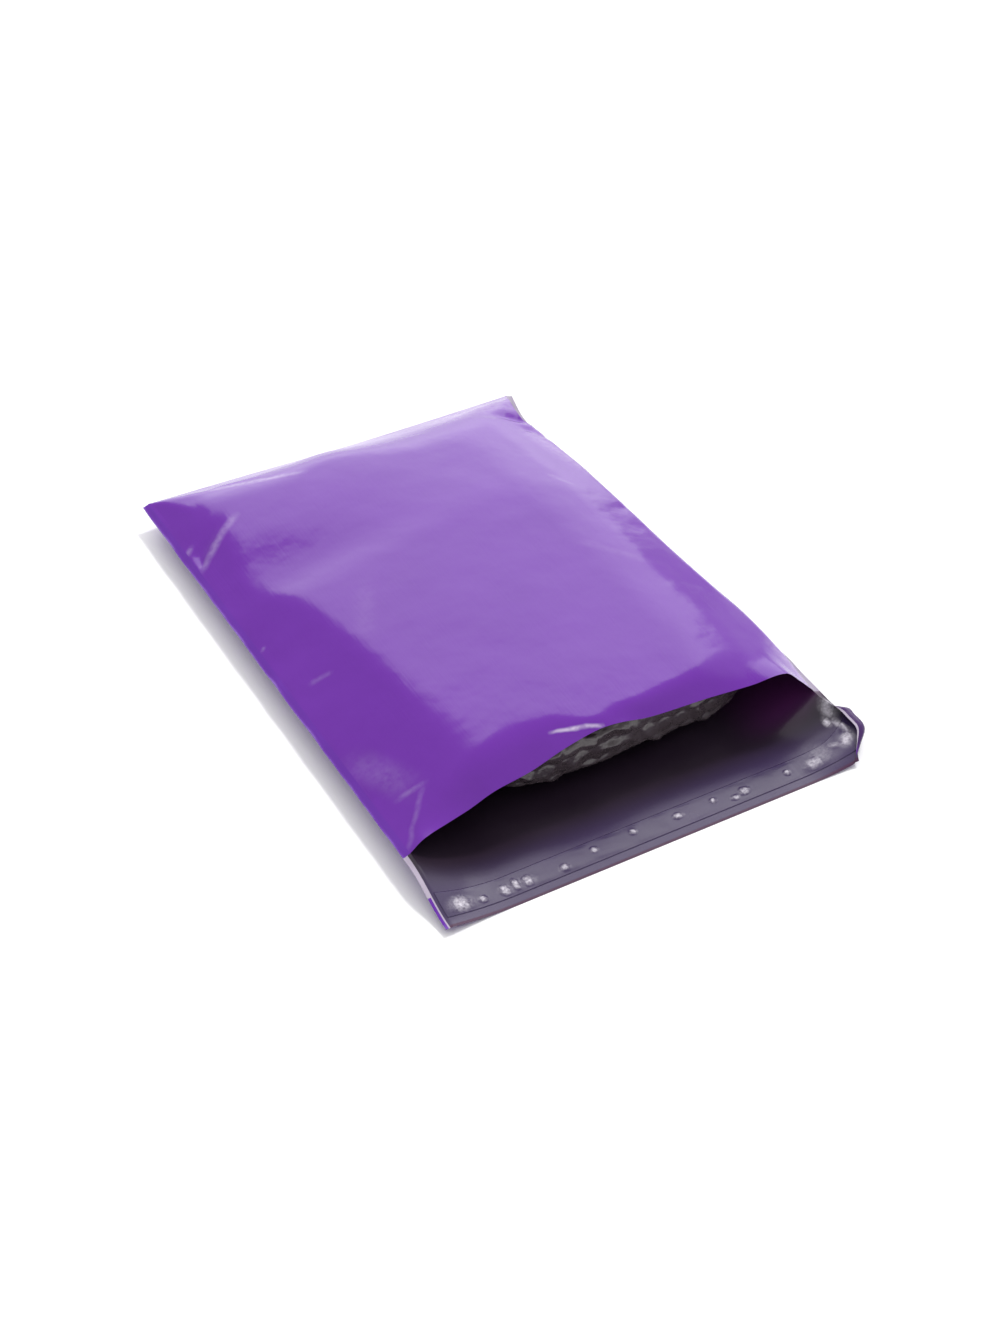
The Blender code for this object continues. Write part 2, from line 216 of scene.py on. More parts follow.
# Liner's free end: spread out and crumpled into a ring, higher towards one side, with a knob inside it
SPREAD_LENGTH = 0.0240
SPREAD_WIDTH = 0.0150
CRUMPLE_MIDDLE = (0.1165, -0.0195)
CRUMPLE_RADIUS = 0.0078
CRUMPLE_BAND = 0.0016
CRUMPLE_HEIGHT = 0.0020
CRUMPLE_WAVELENGTH = 0.009
CRUMPLE_SEED = 43
CRUMPLE_WOBBLE = 0.08
HIGH_SIDE = (0.8, -0.6)
HIGH_SHARE = 0.45
KNOB_PLACE = (-0.0030, 0.0040)
KNOB_SHARE = 0.7

# Painted highlights on the crumpled end, on the liner and the film under it: both ends, half width and
# strength
CRUMPLE_PAINTED_GLINTS = [
    ((0.1190, -0.0110), (0.1200, -0.0150), 0.0030, 1.00),
    ((0.1200, -0.0060), (0.1245, -0.0110), 0.0036, 0.80),
    ((0.1230, -0.0120), (0.1248, -0.0260), 0.0026, 0.70),
    ((0.1245, -0.0260), (0.1180, -0.0310), 0.0044, 0.90),
    ((0.1180, -0.0305), (0.1110, -0.0260), 0.0026, 0.34),
    ((0.1020, -0.0240), (0.1090, -0.0330), 0.0090, 0.20),
]
PAINTED_GLINT_COLOUR = (0.62, 0.58, 0.66)

# Bubble wrap: share of the way round the pack and its turn in degrees, from its nose over its top
GOODS_TURNS = [
    (0.00, -45.0), (0.30, 45.0), (0.55, 62.0), (0.65, 120.0), (0.75, 240.0), (0.82, 298.0), (1.00, 315.0),
]
GOODS_END_PULL = 1.5
BUBBLE_PITCH = 0.0100
BUBBLE_RADIUS = 0.0045
BUBBLE_HEIGHT = 0.0005
FOLD_WAVELENGTH = 0.026
FOLD_SEED = 51
CRINKLE_WAVELENGTH = 0.011
CRINKLE_SEED = 52
CRINKLE_SHARE = 0.5
FOLD_STRETCH = 0.40
FOLD_LIMIT = 1.6
WRAP_FOLD_DEPTH = 0.0013
FOLD_REACH = 0.0700

# Painted highlights and reflections on the film's outside, where its creases, ridges and slopes catch the
# light:
# both ends from the mouth line, half width, and strength
PAINTED_HIGHLIGHT_COLOUR = (0.58, 0.50, 0.66)
PAINTED_HIGHLIGHTS = [
    ((-0.0866, 0.2702), (-0.1185, 0.2480), 0.0040, 0.26),
    ((-0.1195, 0.2645), (-0.1150, 0.2680), 0.0030, 0.24),
    ((-0.1185, 0.1703), (-0.1160, 0.1720), 0.0016, 0.16),
    ((-0.1088, 0.1311), (-0.0984, 0.1281), 0.0026, 0.11),
    ((-0.1150, 0.0700), (-0.1010, 0.0330), 0.0120, 0.09),
    ((-0.1090, 0.0320), (-0.0950, 0.0300), 0.0032, 0.15),
    ((-0.0960, 0.0290), (-0.1190, 0.0030), 0.0024, 0.11),
    ((-0.0300, 0.0185), (-0.0040, 0.0105), 0.0017, 0.85),
    ((-0.0900, 0.3060), (-0.0380, 0.2835), 0.0040, 0.32),
    ((0.0980, 0.2640), (0.1120, 0.2080), 0.0110, 0.20),
    ((0.0780, 0.2075), (0.0880, 0.1932), 0.0030, 0.08),
    ((0.0587, 0.1406), (0.0865, 0.1130), 0.0050, 0.05),
    ((0.0400, 0.3150), (0.1200, 0.3000), 0.0200, 0.22),
    ((-0.0300, 0.3150), (0.0900, 0.3130), 0.0100, 0.14),
    ((0.1150, 0.0400), (0.1180, -0.0040), 0.0070, 0.28),
    ((-0.0554, 0.1714), (-0.0752, 0.1327), 0.0090, 0.04),
]

# The photograph's camera, told from the mouth line
CAMERA_AIM = (-0.00455, 0.1143, 0.0)
CAMERA_AZIMUTH = -29.3
CAMERA_ELEVATION = 41.5
CAMERA_DISTANCE = 1.398
FOCAL_PIXELS = 2602
PICTURE_HEIGHT = 1330
SENSOR = 36.0

# Floor and lights. A heading is an azimuth, clockwise from the closed end, and an elevation. A panel has
# its strength, heading, distance, width and height, and whether it shows in reflections.
FLOOR_SIZE = 30.0
FLOOR_COLOUR = (0.90, 0.90, 0.905)
FLOOR_ROUGHNESS = 0.9
ROOM_STRENGTH = 0.43
SUN_STRENGTH = 1.45
SUN_HEADING = (56.3, 58.0)
SUN_ANGLE = 7.0
PANELS = {
    "top panel": (60.0, (0.0, 88.0), 2.2, 5.0, 5.0, False),
    "softbox": (42.0, (25.5, 25.0), 3.0, 2.6, 3.0, True),
    "side softbox": (11.0, (76.0, 25.0), 3.0, 2.8, 3.0, True),
}

# Films: deep tone, pale tone, roughness, bump height in metres, gloss coat, and wave size
FILMS = {
    "purple film": ((0.122, 0.017, 0.302), (0.131, 0.020, 0.320), 0.14, 0.0004, 0.0, 60.0),
    "dark inner film": ((0.018, 0.010, 0.021), (0.025, 0.015, 0.029), 0.34, 0.0004, 0.7, 60.0),
    # Painted light: the front panel's inner side is a lighter plum copy of the dark inner film, for light
    # through it
    "inner film with painted backlight": ((0.035, 0.012, 0.050), (0.045, 0.016, 0.060), 0.24, 0.0004, 0.0, 60.0),
    "side weld": ((0.110, 0.018, 0.300), (0.122, 0.021, 0.325), 0.16, 0.0006, 0.0, 60.0),
    "cut edge": ((0.050, 0.014, 0.048), (0.060, 0.018, 0.056), 0.30, 0.0004, 0.0, 60.0),
    # Painted highlights: the pale margin and the pale right weld stand in for light that the film's edges
    # reflect
    "margin with painted highlight": ((0.30, 0.25, 0.34), (0.50, 0.44, 0.54), 0.22, 0.0006, 0.0, 60.0),
    "right weld": ((0.20, 0.16, 0.24), (0.32, 0.27, 0.37), 0.20, 0.0006, 0.0, 60.0),
    "clear liner": ((0.038, 0.023, 0.074), (0.047, 0.029, 0.088), 0.22, 0.0004, 0.6, 60.0),
    "bubble wrap": ((0.040, 0.028, 0.034), (0.066, 0.050, 0.058), 0.18, 0.0010, 0.6, 150.0),
}
COAT_ROUGHNESS = 0.22
TONE_RANGE = (0.30, 0.72)
GLUE_COLOUR = (0.030, 0.026, 0.036)
GLUE_ROUGHNESS = 0.35

# Parts of the film's sheet, with the films of their inner and their outer side
SHEET_PARTS = {
    "back": ("dark inner film", "purple film"),
    "left weld": ("side weld", "side weld"),
    "front": ("inner film with painted backlight", "purple film"),
    "free edge": ("cut edge", "purple film"),
    "rolled margin": ("dark inner film", "margin with painted highlight"),
    "flap's left edge": ("margin with painted highlight", "purple film"),
    "right weld": ("right weld", "right weld"),
}

# Surface of blown film: its waves, the draw lines along the web, and the clouds in which gloss is lost
WAVE_HEIGHT = 1.0
LINE_HEIGHT = 0.12
LINE_SCALE = (900.0, 25.0, 900.0)
CLOUD_SCALE = 22.0
CLOUD_DETAIL = 4.0
GLOSS_LOSS = 0.08

# Painted highlight lines: how far they wander off their line in metres with the scale of their grain, the
# range of the grain that shows and its least strength, and the strength at the ends and the stretch at full
# strength
PAINTED_HIGHLIGHT_GRAIN = (0.0035, 260.0)
CRUMPLE_GLINT_GRAIN = (0.0016, 700.0)
SPOT_GLINT_GRAIN = (0.0026, 700.0)
WANDER_SLOWNESS = 0.3
GRAIN_RANGE = (0.30, 0.62)
GRAIN_LEAST = 0.45
MARK_ENDS = 0.25
MARK_FULL = (0.35, 0.65)

# Tints of the film's inner side: purple light that the front panel lets through at the mouth's right side,
# and the flap in the open light
PLUM_COLOUR = (0.075, 0.012, 0.085)
PLUM_ACROSS = (0.070, 0.112)
PLUM_ALONG = (-0.010, 0.008)
FLAP_COLOUR = (0.042, 0.024, 0.082)
FLAP_ACROSS = (-0.300, -0.200)
FLAP_ALONG = (-0.003, -0.027)

# Tint of the film's outside: the rolled corner, which its own roll shades
ROLL_COLOUR = (0.050, 0.016, 0.100)
ROLL_ACROSS = (0.118, 0.123)
ROLL_ALONG = (0.001, -0.005)

MOUTH_LINE = Vector((film_low.x + POCKET_WIDTH / 2, film_high.y - POCKET_LENGTH, FILM_THICKNESS / 2))


# Curves and small helpers

def through(stations, t):
    """The smooth curve through the stations, read at the shares t."""
    places = np.array([s[0] for s in stations])
    values = np.array([s[1] for s in stations])
    last = len(stations) - 1
    t = np.clip(t, places[0], places[-1])
    i = np.clip(np.searchsorted(places, t, side="right") - 1, 0, last - 1)
    before, after = np.maximum(i - 1, 0), np.minimum(i + 2, last)
    a, b = values[i], values[i + 1]
    span = places[i + 1] - places[i]
    slope_a = (b - values[before]) / (places[i + 1] - places[before]) * span
    slope_b = (values[after] - a) / (places[after] - places[i]) * span
    w = (t - places[i]) / span
    return a + (b - a) * w * w * (3 - 2 * w) + w * (1 - w) ** 2 * slope_a - w * w * (1 - w) * slope_b


def ease(t):
    t = np.clip(t, 0.0, 1.0)
    return t * t * (3 - 2 * t)


def blend(a, b, share):
    return a + (b - a) * share


def soft_min(a, b, radius):
    """The lower of two heights, with the ridge between them rounded."""
    near = np.maximum(radius - np.abs(a - b), 0.0)
    return np.minimum(a, b) - near * near / (4 * radius)


def ridge(a, b, radius, rim):
    """soft_min of two slopes, whose ridge gets sharper towards the panel's welded rim."""
    return soft_min(a, b, np.maximum(radius * ease(rim / RIDGE_FADE), SHARPEST_RADIUS))


def slope_of(degrees):
    return math.tan(math.radians(degrees))


def waves(x, y, wavelength, seed, count=WAVE_COUNT):
    """Smooth uneven ground of about unit height: a few seeded waves that run in all directions."""
    draw = np.random.default_rng(seed)
    ground = 0.0
    for _ in range(count):
        heading, phase = draw.uniform(0, math.tau, 2)
        pull = math.tau / (wavelength * draw.uniform(*WAVELENGTH_SPREAD))
        ground = ground + np.sin(pull * (x * math.cos(heading) + y * math.sin(heading)) + phase)
    return ground / math.sqrt(count / 2)


def graded_shares(length):
    """Shares of a length from 0 to 1, in cells that grow from both ends towards the middle."""
    cells, reach, cell = [], 0.0, FIRST_CELL
    while reach < length / 2:
        cells.append(cell)
        reach += cell
        cell = min(cell * CELL_GROWTH, LAST_CELL)
    cells = np.array(cells) * (length / 2 / reach)
    shares = np.concatenate([[0.0], np.cumsum(np.concatenate([cells, cells[::-1]])) / length])
    shares[-1] = 1.0
    return shares


# Form of the film. A constant with 0.0 * along added to it has the shape of the array along.

def left_weld_x(along):
    return WELD_WIDTH - POCKET_WIDTH / 2 + 0.0 * along


def left_weld_z(along):
    return LEFT_WELD_HEIGHT + 0.0 * along


def right_weld_x(along):
    return POCKET_WIDTH / 2 * through(RIGHT_WELD_LINE, along) - WELD_WIDTH


def right_weld_z(along):
    return RIGHT_WELD_HEIGHT * through(RIGHT_WELD_RISE, along)


def end_height(across):
    return LEFT_WELD_HEIGHT * through(END_RISE, across)


def plan(across, along, bow=0.0):
    """Place over the floor of a point of a panel, whose mouth edge may bow back towards the goods."""
    x = blend(left_weld_x(along), right_weld_x(along), across)
    return x, blend(bow * 4 * across * (1 - across), POCKET_LENGTH, along)


def crease_depth(x, y):
    """How deep the creases press into the front panel: a V with a narrow floor, gone at its inner end."""
    depth = 0.0
    for start, end, deepest, half_width in CREASES:
        start, end = np.array(plan(*start)), np.array(plan(*end))
        run = end - start
        share = np.clip(((x - start[0]) * run[0] + (y - start[1]) * run[1]) / run.dot(run), 0.0, 1.0)
        off = np.hypot(x - start[0] - run[0] * share, y - start[1] - run[1] * share) / half_width
        bank = np.maximum(1 - np.sqrt(off * off + CREASE_ROUNDING), 0.0)
        depth = depth + deepest * (1 - ease(share)) * bank
    return depth


def puckers(off, run, seed):
    """Short folds that stand at right angles to a weld and die out away from it."""
    swell = waves(run, 0.0 * run, PUCKER_WAVELENGTH, seed, PUCKER_COUNT)
    return PUCKER_HEIGHT * swell * (off / PUCKER_REACH) * np.exp(1 - off / PUCKER_REACH)


def front_height(across, along):
    """Height of the front panel: the goods' crown, cut by the slopes down to the welds and the end."""
    x, y = plan(across, along, MOUTH_BOW)
    from_left = x - left_weld_x(along)
    from_right = right_weld_x(along) - x
    to_end = POCKET_LENGTH - y
    rim = np.minimum(np.minimum(from_left, from_right), to_end)
    slope = np.radians(END_SLOPE + END_SLOPE_EXTRA * through(END_PUSH, across))
    height = CROWN_HEIGHT * through(CROWN_ACROSS, across) * through(CROWN_ALONG, along)
    shoulder = CROWN_HEIGHT * through(SHOULDER_RISE, along) + from_left * slope_of(SHOULDER_SLOPE)
    left_side = left_weld_z(along) + from_left * slope_of(LEFT_SLOPE)
    right_side = right_weld_z(along) + from_right * slope_of(RIGHT_SLOPE)
    end_side = end_height(across) + to_end * np.tan(slope)
    height = ridge(height, ridge(shoulder, left_side, SHOULDER_RADIUS, rim), RIDGE_RADIUS, rim)
    height = ridge(height, end_side, RIDGE_RADIUS, rim)
    height = ridge(height, right_side, RIGHT_RADIUS, rim)
    height = height - crease_depth(x, y) * ease(rim / CREASE_FADE)
    arch = CROWN_HEIGHT * through(MOUTH_ARCH, across)
    behind = y - plan(across, 0.0 * along, MOUTH_BOW)[1]
    fallen = behind / (MOUTH_FALL * through(MOUTH_DEPTH, across))
    height = blend(arch, height, soft_min(fallen, 1.0, LIP_SOFTNESS))
    height = height + ease(rim / FADE_LENGTH) * (
        SAG_HEIGHT * waves(x, y, SAG_WAVELENGTH, SAG_SEED)
        + DRAPE_HEIGHT * waves(x, y, DRAPE_WAVELENGTH, DRAPE_SEED)
    )
    return height + puckers(from_left, y, LEFT_PUCKER_SEED) + puckers(to_end, x, END_PUCKER_SEED)


def back_height(across, along):
    """Height of the back panel, flat on the floor and rising to the welds and the closed end."""
    x, y = plan(across, along)
    from_left = np.maximum(1 - (x - left_weld_x(along)) / LEFT_MARGIN, 0.0)
    from_right = np.maximum(1 - (right_weld_x(along) - x) / RIGHT_MARGIN, 0.0)
    from_end = np.maximum(1 - (POCKET_LENGTH - y) / END_MARGIN, 0.0)
    rise = np.maximum(left_weld_z(along) * from_left ** 2, right_weld_z(along) * from_right ** 2)
    return np.maximum(rise, end_height(across) * from_end ** 2)


def fin_drop(outside):
    """How far a weld fin lies under its weld line: it slopes down, and lies level at its outer edge."""
    return WELD_DROP * np.clip(outside / (WELD_WIDTH * FIN_BEND), 0.0, 1.0)


def roll_point(distance):
    """Path of the rolled right margin, by the film's length from where it leaves the floor."""
    slope, turn = math.radians(ROLL_SLOPE), math.radians(ROLL_TURN)
    rise_length = ROLL_LENGTH - ROLL_TAIL - ROLL_RADIUS * turn
    rising = np.clip(distance, 0.0, rise_length)
    lean = slope * rising / rise_length / 2
    angle = np.clip((distance - rise_length) / ROLL_RADIUS, 0.0, turn)
    tail = np.maximum(distance - rise_length - ROLL_RADIUS * turn, 0.0)
    x = rising * np.cos(lean) + ROLL_RADIUS * (np.sin(slope + angle) - math.sin(slope))
    z = rising * np.sin(lean) + ROLL_RADIUS * (math.cos(slope) - np.cos(slope + angle))
    return x + tail * math.cos(slope + turn), z + tail * math.sin(slope + turn)


def flap_points(x, out):
    """Points of the flap, by their place across the mouth line and their distance out from that line."""
    share = out / FLAP_LENGTH
    side = right_weld_x(0.0) + WELD_WIDTH
    from_left = np.clip(1 - (x - left_weld_x(0.0)) / LEFT_MARGIN, 0.0, 1.0)
    from_right = np.clip(1 - (side - WELD_WIDTH - x) / RIGHT_MARGIN, 0.0, 1.0)
    height = blend(left_weld_z(0.0), FLAP_LEFT_LIFT, ease(share)) * from_left ** 2
    height = height + blend(right_weld_z(0.0), FLAP_RIGHT_LIFT, ease(share)) * from_right ** 2
    start = side - RIGHT_MARGIN
    reach = 1 - (np.clip(side - x, 0.0, RIGHT_MARGIN) / RIGHT_MARGIN) ** ROLL_CELL_PULL
    roll_x, roll_z = roll_point(ROLL_LENGTH * reach)
    rolled = np.where(x > start, through(ROLL_SHARE, share), 0.0)
    outside = np.maximum(left_weld_x(0.0) - x, x - side + WELD_WIDTH)
    height = height - fin_drop(outside) * (1 - ease(share / DROP_FADE))
    at_corner = ease(1 - (side - x) / CORNER_REACH) * ease((share - CORNER_FROM) / (1 - CORNER_FROM))
    return blend(x, start + roll_x, rolled) - CORNER_PULL * at_corner, -out, blend(height, roll_z, rolled)


# Meshes

def cells(index, turned=False):
    """The cells of a grid of vertex numbers."""
    if turned:
        index = index[:, ::-1]
    corners = (index[:-1, :-1], index[:-1, 1:], index[1:, 1:], index[1:, :-1])
    return np.stack(corners, axis=-1).reshape(-1, 4).tolist()


def panel_cells(index, slot, side=0, turned=False):
    """Cells of a panel and their material slots. The two at the closed end's corners are cut in two, from the
    corner to the inside, so that the welded panels don't share a cut."""
    faces = cells(index, turned)
    slots = list(slot)
    width = index.shape[1] - 1
    start = len(faces) - width
    for cell in sorted((start + side, start + width - 1 - side), reverse=True):
        a, b, c, d = faces[cell]
        left = cell == start + side
        halves = [(a, b, d), (b, c, d)] if left else [(a, b, c), (a, c, d)]
        faces[cell:cell + 1] = halves
        slots.insert(cell, slots[cell])
    return faces, slots


def mesh_piece(name, points, faces, slots, face_slots=None):
    mesh = bpy.data.meshes.new(name)
    mesh.from_pydata((points + np.array(MOUTH_LINE)).tolist(), [], faces)
    for material in slots:
        mesh.materials.append(material)
    if face_slots is not None:
        mesh.polygons.foreach_set("material_index", face_slots)
    mesh.shade_smooth()
    piece = bpy.data.objects.new(name, mesh)
    bpy.context.scene.collection.objects.link(piece)
    return piece


def bake_modifiers(piece):
    """Turns the modifiers into mesh, and keeps cut edges crisp."""
    graph = bpy.context.evaluated_depsgraph_get()
    old = piece.data
    mesh = bpy.data.meshes.new_from_object(piece.evaluated_get(graph))
    piece.modifiers.clear()
    piece.data = mesh
    bpy.data.meshes.remove(old)
    mesh.name = piece.name
    mesh.shade_smooth()
    mesh.set_sharp_from_angle(angle=math.radians(SHARP_ANGLE))


def back_points(across, along):
    """Points of the flap and the back panel with its weld fins, from the free edge to the closed end."""
    margin = np.linspace(1, 0, MARGIN_CELLS, endpoint=False) * WELD_WIDTH
    u, v = np.meshgrid(across, along)
    x, y = plan(u, v)
    z = back_height(u, v)
    z[:, 0], z[:, -1] = left_weld_z(along), right_weld_z(along)
    z[-1, 1:-1] = end_height(across[1:-1])
    rows = along * POCKET_LENGTH
    swing = margin / WELD_WIDTH * FIN_WAVE_HEIGHT * ease(rows / FADE_LENGTH)[:, None]
    left_fin, right_fin = (
        swing * waves(rows, 0.0 * rows, FIN_WAVELENGTH, seed, FIN_WAVE_COUNT)[:, None] - fin_drop(margin)
        for seed in FIN_SEEDS
    )
    x = np.hstack([x[:, :1] - margin, x, x[:, -1:] + margin[::-1]])
    z = np.hstack([z[:, :1] + left_fin, z, z[:, -1:] + right_fin[:, ::-1]])
    y = np.hstack([y[:, :1].repeat(MARGIN_CELLS, 1), y, y[:, :1].repeat(MARGIN_CELLS, 1)])
    out = np.linspace(FLAP_LENGTH, 0, FLAP_CELLS, endpoint=False)
    flap = np.stack(np.broadcast_arrays(*flap_points(x[:1], out[:, None])), axis=-1)
    return np.concatenate([flap, np.stack([x, y, z], axis=-1)])


def slot_of(part):
    """Material slot of the inner side of a part of the sheet. Its outer side has the next slot."""
    return 2 * list(SHEET_PARTS).index(part)


def back_slots(rows, columns):
    """Material slots of the cells of the flap and the back panel."""
    slots = np.full((rows, columns), slot_of("back"))
    slots[FLAP_CELLS:, :MARGIN_CELLS] = slot_of("left weld")
    slots[FLAP_CELLS:, -MARGIN_CELLS:] = slot_of("right weld")
    slots[0] = slot_of("free edge")
    slots[:FLAP_CELLS, :PALE_EDGE_CELLS] = slot_of("flap's left edge")
    slots[:round(FLAP_CELLS * VIOLET_SHARE), :LEFT_EDGE_CELLS] = slot_of("left weld")
    slots[1:FLAP_CELLS, -MARGIN_CELLS:] = slot_of("rolled margin")
    return slots


def film_sheet():
    """Points, cells and material slots of the film as one sheet: flap, back panel, fold, front panel."""
    across, along = graded_shares(POCKET_WIDTH), graded_shares(POCKET_LENGTH)
    back = back_points(across, along)
    back_index = np.arange(back.shape[0] * back.shape[1]).reshape(back.shape[:2])
    inner_u, inner_v = np.meshgrid(across[1:-1], along[:-1])
    front = np.stack([*plan(inner_u, inner_v, MOUTH_BOW), front_height(inner_u, inner_v)], axis=-1)
    front_index = back_index[FLAP_CELLS:, MARGIN_CELLS:-MARGIN_CELLS].copy()
    front_index[:-1, 1:-1] = back_index.size + np.arange(inner_u.size).reshape(inner_u.shape)
    points = np.concatenate([back.reshape(-1, 3), front.reshape(-1, 3)])
    slots = back_slots(back.shape[0] - 1, back.shape[1] - 1)
    faces, slots = panel_cells(back_index, slots.ravel(), side=MARGIN_CELLS)
    front_slots = [slot_of("front")] * ((front_index.shape[0] - 1) * (front_index.shape[1] - 1))
    front_faces, front_slots = panel_cells(front_index, front_slots, turned=True)
    return points, faces + front_faces, slots + front_slots


def make_film(films):
    points, faces, slots = film_sheet()
    sides = [films[side] for part_sides in SHEET_PARTS.values() for side in part_sides]
    film = mesh_piece("film", points, faces, sides, slots)
    wall = film.modifiers.new("Film thickness", "SOLIDIFY")
    wall.solidify_mode = "NON_MANIFOLD"
    wall.nonmanifold_thickness_mode = "CONSTRAINTS"
    wall.nonmanifold_merge_threshold = MERGE_DISTANCE
    wall.thickness = FILM_THICKNESS
    wall.offset = 0.0
    wall.material_offset = 1
    bake_modifiers(film)
    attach(film, "root")
    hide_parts("mailer_film")


# Glue strip and release liner

def flap_layer(x, out, height):
    """Points at a height over the flap's inner face, square to it."""
    step = FIRST_CELL / 4
    here = np.stack(np.broadcast_arrays(*flap_points(x, out)), axis=-1)
    right = np.stack(np.broadcast_arrays(*flap_points(x + step, out)), axis=-1)
    back = np.stack(np.broadcast_arrays(*flap_points(x, out - step)), axis=-1)
    normal = np.cross(right - here, back - here)
    normal /= np.linalg.norm(normal, axis=-1, keepdims=True)
    return here + normal * np.asarray(height)[..., None]


def slab(name, top, bottom, material):
    """A closed thin sheet between two grids of points, whose rows run towards +Y."""
    count = top.shape[0] * top.shape[1]
    index = np.arange(count).reshape(top.shape[:2])
    rim = np.concatenate([index[0], index[1:, -1], index[-1, -2::-1], index[-2:0:-1, 0]])
    after = np.roll(rim, -1)
    sides = np.stack([rim + count, after + count, after, rim], axis=-1).tolist()
    faces = cells(index) + cells(index + count, turned=True) + sides
    piece = mesh_piece(name, np.concatenate([top.reshape(-1, 3), bottom.reshape(-1, 3)]), faces, [material])
    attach(piece, "root")
    return piece


def strip_grid(columns, near, far, rows):
    """Places across the mouth line and out from it, over the whole length of the strip."""
    x = np.linspace(left_weld_x(0.0), right_weld_x(0.0), columns)
    return np.meshgrid(x, np.linspace(far, near, rows))


def make_glue(material):
    x, out = strip_grid(GLUE_COLUMNS, LINER_CENTRE - GLUE_WIDTH / 2, LINER_CENTRE + GLUE_WIDTH / 2, GLUE_ROWS)
    under = FILM_THICKNESS / 2 + LAYER_GAP
    top = flap_layer(x, out, under + GLUE_THICKNESS + 0.0 * x)
    glue = slab("glue", top, flap_layer(x, out, under + 0.0 * x), material)
    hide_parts("glue_strip")


def liner_lift(x, y):
    """How far the liner has come off the glue at points of the floor plan."""
    wrinkle = np.abs(waves(x, y, WRINKLE_LENGTH, WRINKLE_SEED))
    lift = 0.0 * x
    for middle_x, middle_out, half_x, half_out, strength in LOOSE_SPOTS:
        off = np.hypot((x - middle_x) / half_x, (y + middle_out) / half_out)
        lift = lift + strength * np.clip(1 - off * off, 0.0, 1.0)
    return LOOSE_HEIGHT * lift * (1 - WRINKLE_SHARE + WRINKLE_SHARE * wrinkle)


def crumple(x, y):
    """Height of the liner's free end, crumpled into a ring in the rolled corner."""
    right, back = x - CRUMPLE_MIDDLE[0], y - CRUMPLE_MIDDLE[1]
    radius = np.hypot(right, back)
    uneven = waves(x, y, CRUMPLE_WAVELENGTH, CRUMPLE_SEED)
    band = np.exp(-((radius - CRUMPLE_RADIUS * (1 + CRUMPLE_WOBBLE * uneven)) / CRUMPLE_BAND) ** 2)
    side = ease(0.5 + (HIGH_SIDE[0] * right + HIGH_SIDE[1] * back) / CRUMPLE_RADIUS)
    knob = np.exp(-(np.hypot(right - KNOB_PLACE[0], back - KNOB_PLACE[1]) / CRUMPLE_BAND) ** 2)
    return CRUMPLE_HEIGHT * (band * (1 - HIGH_SHARE + HIGH_SHARE * side) + KNOB_SHARE * knob)


def make_liner(material):
    """The liner over the glue, loose in spots, its right end spread and crumpled in the rolled corner."""
    near, far = LINER_CENTRE - LINER_WIDTH / 2, LINER_CENTRE + LINER_WIDTH / 2
    x, out = strip_grid(LINER_COLUMNS, near, far, LINER_ROWS)
    spread = ease((x - right_weld_x(0.0) + SPREAD_LENGTH) / SPREAD_LENGTH)
    out = out - spread * SPREAD_WIDTH * (far - out) / (far - near)
    ground = flap_layer(x, out, 0.0 * x)
    ground_x, ground_y = ground[..., 0], ground[..., 1]
    rim = np.minimum(out - out.min(axis=0), out.max(axis=0) - out)
    crumpled = crumple(ground_x, ground_y) * spread * ease(rim / CRUMPLE_BAND)
    swell = waves(ground_x, ground_y, RIPPLE_LENGTH, RIPPLE_SEED)
    ripple = np.maximum(RIPPLE_HEIGHT * (1 + swell / 2), 0.0)
    under = FILM_THICKNESS / 2 + 2 * LAYER_GAP + GLUE_THICKNESS
    loose = liner_lift(ground_x, ground_y) + ripple
    height = under + crumpled + loose * ease(rim / RIM_FADE)
    top = flap_layer(x, out, height + LINER_THICKNESS)
    liner = slab("liner", top, flap_layer(x, out, height), material)
    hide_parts("release_liner")


# Goods in bubble wrap

def goods_surface():
    """The wrapped pack as a tube of rows round the X axis, which closes at both ends, and its places in x."""
    share = np.linspace(-1, 1, GOODS_COLUMNS + 2)[1:-1]
    a = np.sign(share) * (1 - (1 - np.abs(share)) ** GOODS_END_PULL)
    turn = np.radians(np.interp(np.linspace(0, 1, GOODS_TURN_ROWS, endpoint=False), *zip(*GOODS_TURNS)))
    power = GOODS_SQUARENESS
    reach = (np.abs(np.cos(turn)) ** power + np.abs(np.sin(turn)) ** power) ** (-1 / power)
    waist = (1 - np.abs(a) ** power) ** (1 / power)
    b = -(np.cos(turn) * reach)[:, None] * waist
    c = (np.sin(turn) * reach)[:, None] * waist
    left, right = left_weld_x(0.5) + GOODS_LEFT, right_weld_x(0.5) - GOODS_RIGHT
    x = blend(left, right, (a + 1) / 2) + 0.0 * b
    return goods_place(x, b, c), x


def goods_place(x, b, c):
    """Points of the pack between the back panel and the front panel, with a clearance to both."""
    front, back = GOODS_FRONT, POCKET_LENGTH - GOODS_BACK
    y = blend(front, back, (b + 1) / 2)
    along = y / POCKET_LENGTH
    across = (x - left_weld_x(along)) / (right_weld_x(along) - left_weld_x(along))
    nose = GOODS_NOSE_LIFT * (1 - ease((y - front) / GOODS_NOSE_LENGTH))
    floor = back_height(across, along) + GOODS_CLEARANCE + nose
    top = front_height(across, along) - GOODS_CLEARANCE
    return np.stack([x, y, blend(floor, top, (c + 1) / 2)], axis=-1)


def bubbles(x, y):
    """Domes of bubble wrap in staggered rows: 1 at a bubble's top, 0 between bubbles."""
    row_pitch = BUBBLE_PITCH * math.sqrt(3) / 2
    best = 0.0 * x
    for lane in (0, 1):
        row = 2 * np.round((y / row_pitch - lane) / 2) + lane
        middle = (np.round(x / BUBBLE_PITCH - lane / 2) + lane / 2) * BUBBLE_PITCH
        off = np.hypot(x - middle, y - row * row_pitch) / BUBBLE_RADIUS
        best = np.maximum(best, np.sqrt(np.maximum(1 - off * off, 0.0)))
    return best


